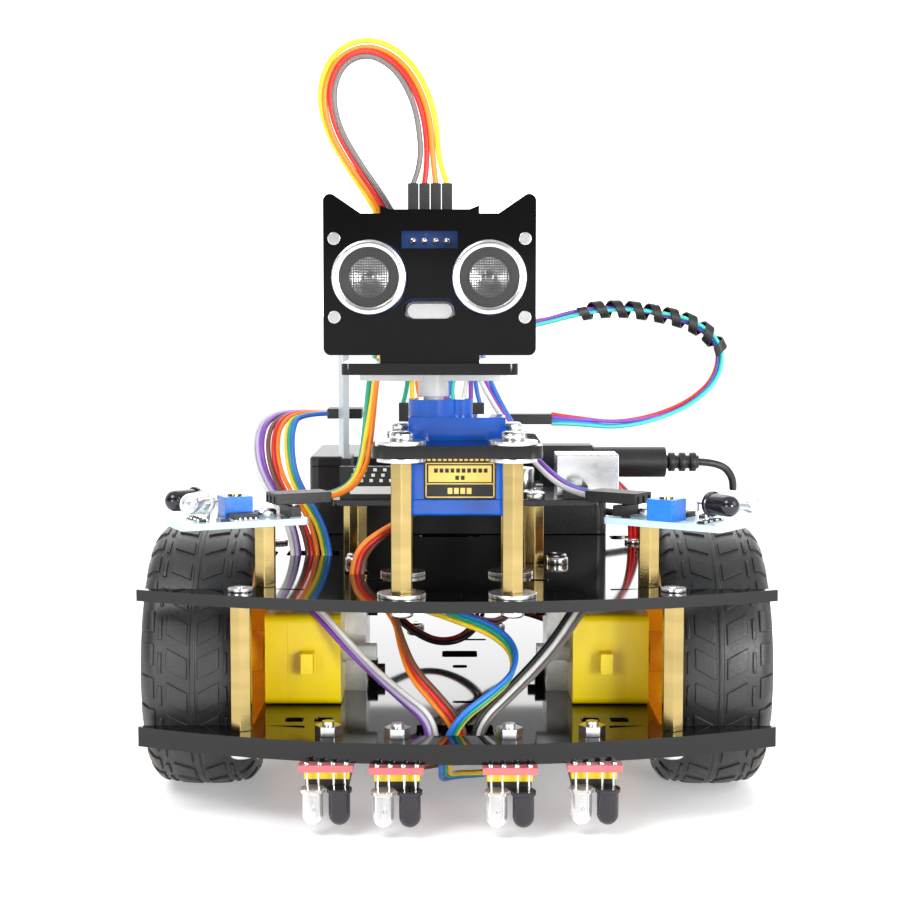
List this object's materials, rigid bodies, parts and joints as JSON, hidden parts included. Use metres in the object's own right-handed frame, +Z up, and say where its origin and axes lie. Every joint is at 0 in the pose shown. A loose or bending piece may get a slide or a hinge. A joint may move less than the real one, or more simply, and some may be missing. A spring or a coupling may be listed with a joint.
{
  "type": "robot_car",
  "caption": "Two-wheel, two-deck hobby robot car with gear motors, a cat-faced ultrasonic head on a servo, obstacle and line sensors, a controller board and a battery box",
  "frame": {"origin": "middle of the car's footprint, on the floor", "axes": "+Z up, -Y towards the front that the ultrasonic head faces, +X towards the car's left side (the viewer's right in a front view)"},
  "size_m": [0.1558, 0.18, 0.1798],
  "materials": {
    "black_acrylic": "gloss",
    "brass": "satin",
    "steel": "gloss",
    "yellow_plastic": "gloss",
    "white_plastic": "satin",
    "tyre_rubber": "matte",
    "clear_plastic": "gloss",
    "bare_aluminium": "satin",
    "black_steel": "satin",
    "blue_plastic": "gloss",
    "black_plastic": "matte",
    "dark_board": "satin",
    "red_board": "satin",
    "cable_jacket": "satin"
  },
  "bodies": {
    "chassis": {"battery_box": "black_plastic", "battery_cells": "steel", "battery_lid": "black_plastic", "bottom_plate": "black_acrylic", "cable_plugs": "black_plastic", "caster_housing": "black_plastic", "chassis_screws": "steel", "controller_board": "dark_board", "controller_parts": "black_plastic", "gear_case_left": "yellow_plastic", "gear_case_right": "yellow_plastic", "gear_covers": "yellow_plastic", "line_boards": "red_board", "line_cable_1": "cable_jacket", "line_cable_2": "cable_jacket", "line_cable_3": "cable_jacket", "line_cable_4": "cable_jacket", "long_spacers": "brass", "loop_cable": "cable_jacket", "motor_brackets": "bare_aluminium", "motor_lead_left": "cable_jacket", "motor_lead_right": "cable_jacket", "motor_screws": "black_steel", "motor_straps": "clear_plastic", "motors": "steel", "obstacle_boards": "dark_board", "obstacle_cable_left": "cable_jacket", "obstacle_cable_right": "cable_jacket", "power_lead": "cable_jacket", "power_plug": "black_plastic", "sensor_leds": "clear_plastic", "servo_cable": "cable_jacket", "servo_case": "blue_plastic", "servo_covers": "blue_plastic", "servo_plate": "black_acrylic", "short_spacers": "brass", "supply_cable": "cable_jacket", "top_plate": "black_acrylic", "trimmers": "blue_plastic", "usb_socket": "steel", "wireless_module": "white_plastic"},
    "wheel_left": {"output_gear_left": "white_plastic", "hub_left": "yellow_plastic", "tyre_left": "tyre_rubber"},
    "wheel_right": {"output_gear_right": "white_plastic", "hub_right": "yellow_plastic", "tyre_right": "tyre_rubber"},
    "head": {"servo_horn": "white_plastic", "head_base": "black_acrylic", "face_panel": "black_acrylic", "head_screws": "steel", "ultrasonic_board": "dark_board", "transducers": "bare_aluminium", "head_plug": "black_plastic", "head_cable": "cable_jacket"},
    "caster": {"caster_ball": "steel"},
    "button": {"reset_button": "black_plastic"},
    "switch": {"power_switch": "black_plastic"},
    "trimmer_left": {"trimmer_screw_left": "brass"},
    "trimmer_right": {"trimmer_screw_right": "brass"}
  },
  "joints": [
    {"name": "wheel_left_spin", "type": "hinge", "parent": "chassis", "child": "wheel_left", "pos_m": [-0.0625, -0.029, 0.033], "axis": [1, 0, 0], "continuous": true},
    {"name": "wheel_right_spin", "type": "hinge", "parent": "chassis", "child": "wheel_right", "pos_m": [0.0625, -0.029, 0.033], "axis": [1, 0, 0], "continuous": true},
    {"name": "head_pan", "type": "hinge", "parent": "chassis", "child": "head", "pos_m": [-0.0056, -0.0529, 0.1], "axis": [0, 0, 1], "range_deg": [-90, 90], "deforming": ["head_cable"]},
    {"name": "caster_roll", "type": "hinge", "parent": "chassis", "child": "caster", "pos_m": [0, 0.066, 0.0075], "axis": [1, 0, 0], "continuous": true},
    {"name": "reset_press", "type": "slide", "parent": "chassis", "child": "button", "axis": [0, 0, -1], "range_m": [0, 0.00025], "stiffness_N_per_m": 400, "springref_m": -0.001},
    {"name": "power_slide", "type": "slide", "parent": "chassis", "child": "switch", "axis": [0, 1, 0], "range_m": [0, 0.004]},
    {"name": "trimmer_left_turn", "type": "hinge", "parent": "chassis", "child": "trimmer_left", "pos_m": [-0.05265, -0.0563, 0.0748], "axis": [0, 0, 1], "range_deg": [-105, 105]},
    {"name": "trimmer_right_turn", "type": "hinge", "parent": "chassis", "child": "trimmer_right", "pos_m": [0.0488, -0.06285, 0.0748], "axis": [0, 0, 1], "range_deg": [-105, 105]}
  ]
}
